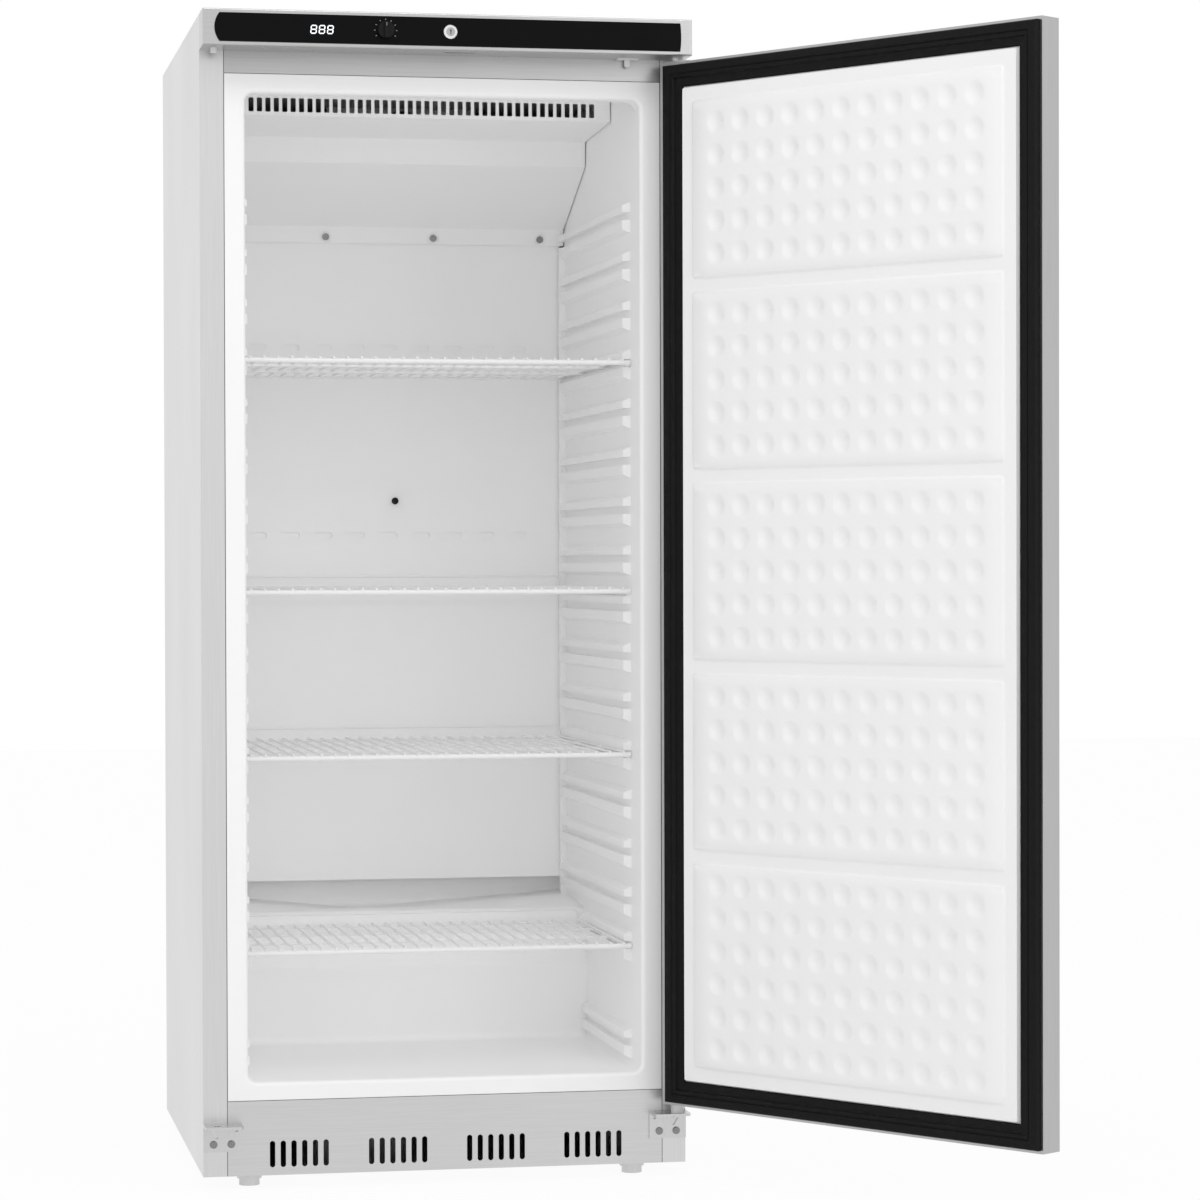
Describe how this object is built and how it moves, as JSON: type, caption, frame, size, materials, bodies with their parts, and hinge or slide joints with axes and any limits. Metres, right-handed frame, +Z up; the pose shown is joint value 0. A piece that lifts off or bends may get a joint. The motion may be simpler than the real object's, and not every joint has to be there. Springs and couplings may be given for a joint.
{
  "type": "upright refrigerator",
  "caption": "Upright one-door stainless steel catering refrigerator with a forced-air evaporator, wire shelves on moulded ladders and a lockable canopy of controls.",
  "frame": {"origin": "on the floor under the middle of the cabinet's footprint", "axes": "+X to the right of a person facing the front, +Y towards the back, +Z up"},
  "size_m": [1.2089, 1.4345, 1.86],
  "materials": {
    "stainless": "satin brushed",
    "zinc_steel": "dull zinc-coated",
    "white_abs": "satin moulded",
    "foam": "foamed",
    "white_coat": "satin powder coat",
    "shelf_coat": "glossy plastic coat",
    "black_gloss": "glossy",
    "black_plastic": "satin",
    "grey_plastic": "satin",
    "white_nylon": "satin",
    "chrome": "polished",
    "gasket_rubber": "matt",
    "fin_aluminium": "bare",
    "copper": "bare copper",
    "black_steel": "satin",
    "rubber": "matt"
  },
  "bodies": {
    "cabinet": {"side_panel_left": "stainless", "side_panel_right": "stainless", "top_panel": "stainless", "rear_panel": "zinc_steel", "kick_panel": "stainless", "machine_bay_roof": "zinc_steel", "base_tray": "zinc_steel", "inner_liner": "white_abs", "cabinet_foam": "foam", "canopy": "stainless", "control_overlay": "black_gloss", "display_module": "black_gloss", "thermostat_body": "grey_plastic", "lock_barrel": "chrome", "door_switch_housing": "white_nylon", "upper_hinge_plate": "zinc_steel", "upper_hinge_pin": "zinc_steel", "spare_hinge_plug": "white_nylon", "lower_hinge_bracket": "zinc_steel", "spare_hinge_bracket": "zinc_steel", "bracket_screws": "zinc_steel", "lower_hinge_pin": "zinc_steel", "hinge_washer": "white_nylon", "evaporator_cover": "white_coat", "evaporator_cover_screws": "zinc_steel", "air_panel": "white_coat", "temperature_probe": "copper", "evaporator_coil": "fin_aluminium", "evaporator_fan_plate": "zinc_steel", "evaporator_fan_motor": "black_steel", "drain_tube": "grey_plastic", "suction_line": "copper", "compressor": "black_steel", "compressor_grommets": "rubber", "condenser_coil": "fin_aluminium", "condenser_fan_shroud": "zinc_steel", "condenser_fan_motor": "black_steel", "evaporation_tray": "black_plastic", "rear_grille": "zinc_steel", "power_inlet": "black_plastic"},
    "door": {"door_outer_skin": "stainless", "door_foam": "foam", "door_inner_liner": "white_abs", "door_gasket": "gasket_rubber", "door_hand_grip": "black_plastic", "door_hinge_bushes": "white_nylon"},
    "upper_shelf": {"shelf_1": "shelf_coat"},
    "second_shelf": {"shelf_2": "shelf_coat"},
    "third_shelf": {"shelf_3": "shelf_coat"},
    "low_shelf": {"shelf_4": "shelf_coat"},
    "knob": {"thermostat_knob": "black_plastic"},
    "lock_key_plug": {"lock_plug": "chrome", "lock_cam": "zinc_steel"},
    "switch_lever": {"door_switch_lever": "white_nylon"},
    "cold_fan": {"evaporator_fan": "black_plastic"},
    "warm_fan": {"condenser_fan": "black_plastic"},
    "foot_fl": {"foot_front_left": "zinc_steel"},
    "foot_fr": {"foot_front_right": "zinc_steel"},
    "foot_rl": {"foot_rear_left": "zinc_steel"},
    "foot_rr": {"foot_rear_right": "zinc_steel"}
  },
  "joints": [
    {"name": "door_swing", "type": "hinge", "parent": "cabinet", "child": "door", "pos_m": [0.37, -0.417, 0.9575], "axis": [0, 0, 1], "range_deg": [-125, 25]},
    {"name": "upper_shelf_slide", "type": "slide", "parent": "cabinet", "child": "upper_shelf", "axis": [0, -1, 0], "range_m": [0, 0.36]},
    {"name": "second_shelf_slide", "type": "slide", "parent": "cabinet", "child": "second_shelf", "axis": [0, -1, 0], "range_m": [0, 0.36]},
    {"name": "third_shelf_slide", "type": "slide", "parent": "cabinet", "child": "third_shelf", "axis": [0, -1, 0], "range_m": [0, 0.36]},
    {"name": "low_shelf_slide", "type": "slide", "parent": "cabinet", "child": "low_shelf", "axis": [0, -1, 0], "range_m": [0, 0.3]},
    {"name": "knob_turn", "type": "hinge", "parent": "cabinet", "child": "knob", "pos_m": [-0.103, -0.457, 1.831], "axis": [0, 1, 0], "range_deg": [-135, 135]},
    {"name": "key_turn", "type": "hinge", "parent": "cabinet", "child": "lock_key_plug", "pos_m": [0, -0.445, 1.831], "axis": [0, 1, 0], "range_deg": [0, 90]},
    {"name": "switch_tip", "type": "hinge", "parent": "cabinet", "child": "switch_lever", "pos_m": [0.296, -0.393, 1.808], "axis": [1, 0, 0], "range_deg": [0, 12], "stiffness_Nm_per_rad": 0.05},
    {"name": "cold_fan_spin", "type": "hinge", "parent": "cabinet", "child": "cold_fan", "pos_m": [0, 0.12, 1.727], "axis": [0, 1, 0], "continuous": true},
    {"name": "warm_fan_spin", "type": "hinge", "parent": "cabinet", "child": "warm_fan", "pos_m": [0.175, 0.251, 0.167], "axis": [0, 1, 0], "continuous": true},
    {"name": "foot_fl_turn", "type": "hinge", "parent": "cabinet", "child": "foot_fl", "pos_m": [-0.312, -0.33, 0.03], "axis": [0, 0, 1], "continuous": true},
    {"name": "foot_fr_turn", "type": "hinge", "parent": "cabinet", "child": "foot_fr", "pos_m": [0.312, -0.33, 0.03], "axis": [0, 0, 1], "continuous": true},
    {"name": "foot_rl_turn", "type": "hinge", "parent": "cabinet", "child": "foot_rl", "pos_m": [-0.312, 0.33, 0.03], "axis": [0, 0, 1], "continuous": true},
    {"name": "foot_rr_turn", "type": "hinge", "parent": "cabinet", "child": "foot_rr", "pos_m": [0.312, 0.33, 0.03], "axis": [0, 0, 1], "continuous": true}
  ]
}
